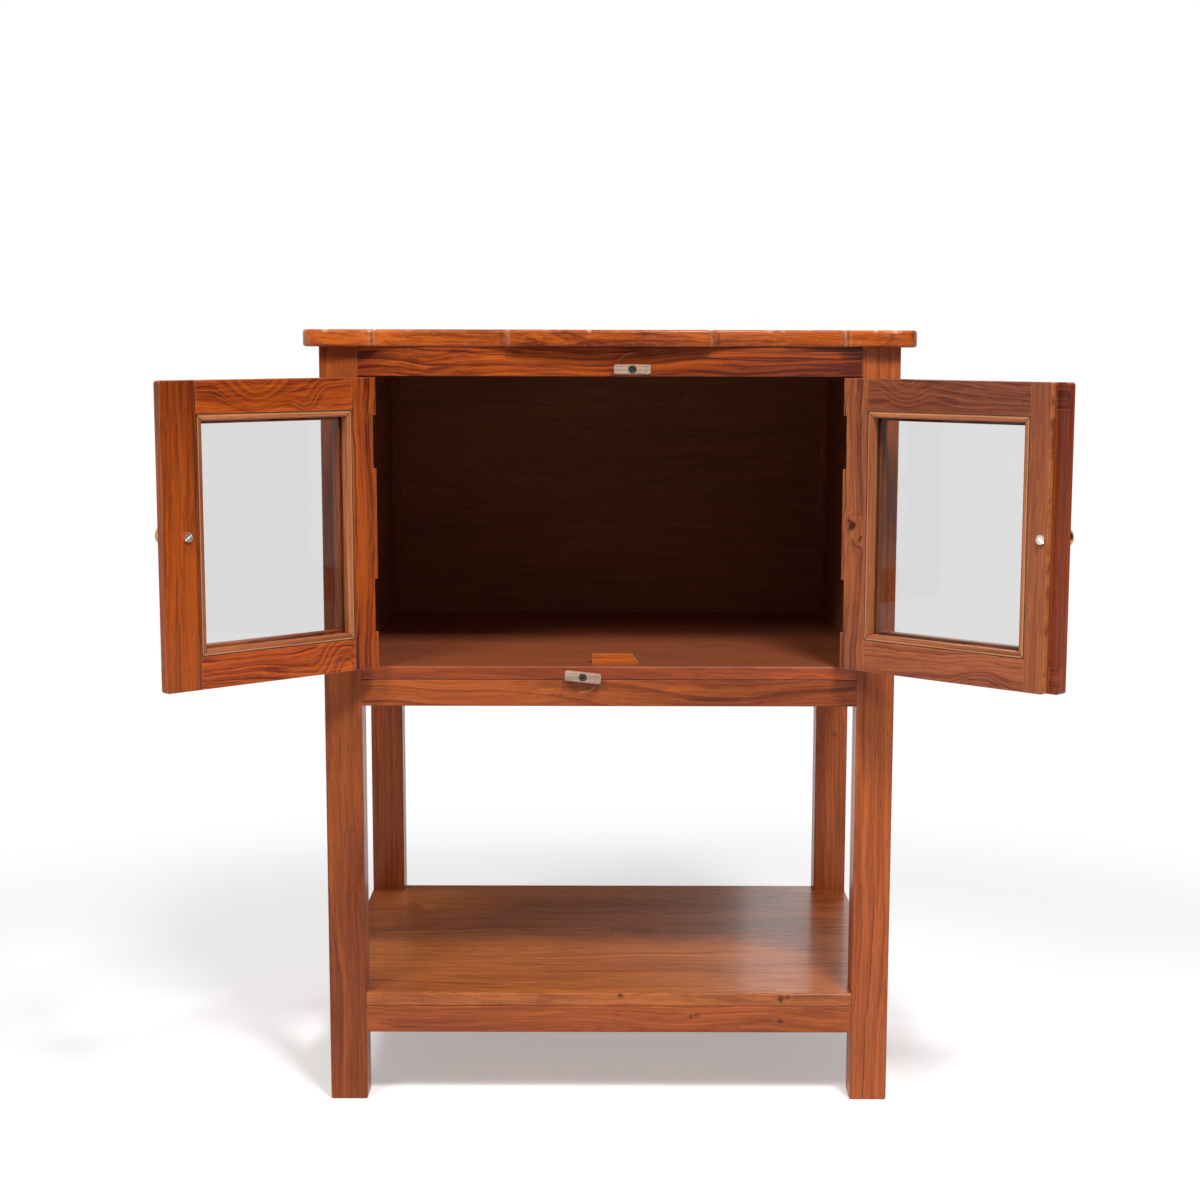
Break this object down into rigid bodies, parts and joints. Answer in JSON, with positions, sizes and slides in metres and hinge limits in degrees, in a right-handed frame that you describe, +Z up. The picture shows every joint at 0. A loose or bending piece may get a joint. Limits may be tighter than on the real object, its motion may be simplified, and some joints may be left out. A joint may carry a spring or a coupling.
{
  "type": "storage cabinet",
  "caption": "Small free-standing wooden cabinet on four square legs: a cupboard with two glazed hinged doors above an open shelf, under a scalloped top board.",
  "frame": {"origin": "on the floor, in the middle of the area that the cabinet covers with its doors standing open as at rest", "axes": "+X to the cabinet's right as seen from the front, +Y from the doors to the back, +Z up"},
  "size_m": [0.8611, 0.6959, 0.793],
  "materials": {
    "top_wood": "semi-gloss lacquer",
    "post_wood": "semi-gloss lacquer",
    "rail_wood": "semi-gloss lacquer",
    "board_wood": "semi-gloss lacquer",
    "panel_wood": "satin lacquer",
    "door_wood": "semi-gloss lacquer",
    "bead_wood": "satin lacquer",
    "button_wood": "worn, nearly bare",
    "glass": "clear",
    "knob_brass": "polished, slightly tarnished",
    "bright_brass": "bright",
    "hinge_brass": "dulled",
    "screw_steel": "dull",
    "dark_steel": "darkened"
  },
  "bodies": {
    "carcass": {"back_panel": "panel_wood", "door_stop": "board_wood", "floor_board": "board_wood", "frame_leaf_screws_left": "screw_steel", "frame_leaf_screws_right": "screw_steel", "frame_leaves_left": "hinge_brass", "frame_leaves_right": "hinge_brass", "hinge_pins_left": "hinge_brass", "hinge_pins_right": "hinge_brass", "leg_back_left": "post_wood", "leg_back_right": "post_wood", "leg_front_left": "post_wood", "leg_front_right": "post_wood", "lower_rail_back": "rail_wood", "lower_rail_front": "rail_wood", "lower_rail_left": "rail_wood", "lower_rail_right": "rail_wood", "lower_shelf": "board_wood", "shelf_rail_back": "rail_wood", "shelf_rail_front": "rail_wood", "shelf_rail_left": "rail_wood", "shelf_rail_right": "rail_wood", "side_panel_left": "panel_wood", "side_panel_right": "panel_wood", "top_board": "top_wood", "top_rail_back": "rail_wood", "top_rail_front": "rail_wood", "top_rail_left": "rail_wood", "top_rail_right": "rail_wood", "turn_button_screw_bottom": "dark_steel", "turn_button_screw_top": "dark_steel"},
    "left_door": {"door_bottom_rail_left": "door_wood", "door_leaf_screws_left": "screw_steel", "door_leaves_left": "hinge_brass", "door_top_rail_left": "door_wood", "glass_beads_left": "bead_wood", "glass_left": "glass", "hinge_stile_left": "door_wood", "knob_left": "knob_brass", "knob_screw_left": "bright_brass", "meeting_stile_left": "door_wood"},
    "right_door": {"door_bottom_rail_right": "door_wood", "door_leaf_screws_right": "screw_steel", "door_leaves_right": "hinge_brass", "door_top_rail_right": "door_wood", "glass_beads_right": "bead_wood", "glass_right": "glass", "hinge_stile_right": "door_wood", "knob_right": "knob_brass", "knob_screw_right": "bright_brass", "meeting_stile_right": "door_wood"},
    "turn_button_top": {"turn_button_top": "button_wood"},
    "turn_button_bottom": {"turn_button_bottom": "button_wood"}
  },
  "joints": [
    {"name": "left_door_hinge", "type": "hinge", "parent": "carcass", "child": "left_door", "pos_m": [-0.2486, -0.1532, 0.6015], "axis": [0, 0, -1], "range_deg": [-135, 45]},
    {"name": "right_door_hinge", "type": "hinge", "parent": "carcass", "child": "right_door", "pos_m": [0.2486, -0.1532, 0.6015], "axis": [0, 0, 1], "range_deg": [-135, 45]},
    {"name": "top_button_turn", "type": "hinge", "parent": "carcass", "child": "turn_button_top", "pos_m": [0.0223, -0.1513, 0.754], "axis": [0, -1, 0], "continuous": true},
    {"name": "bottom_button_turn", "type": "hinge", "parent": "carcass", "child": "turn_button_bottom", "pos_m": [-0.0268, -0.1516, 0.4454], "axis": [0, -1, 0], "continuous": true}
  ]
}
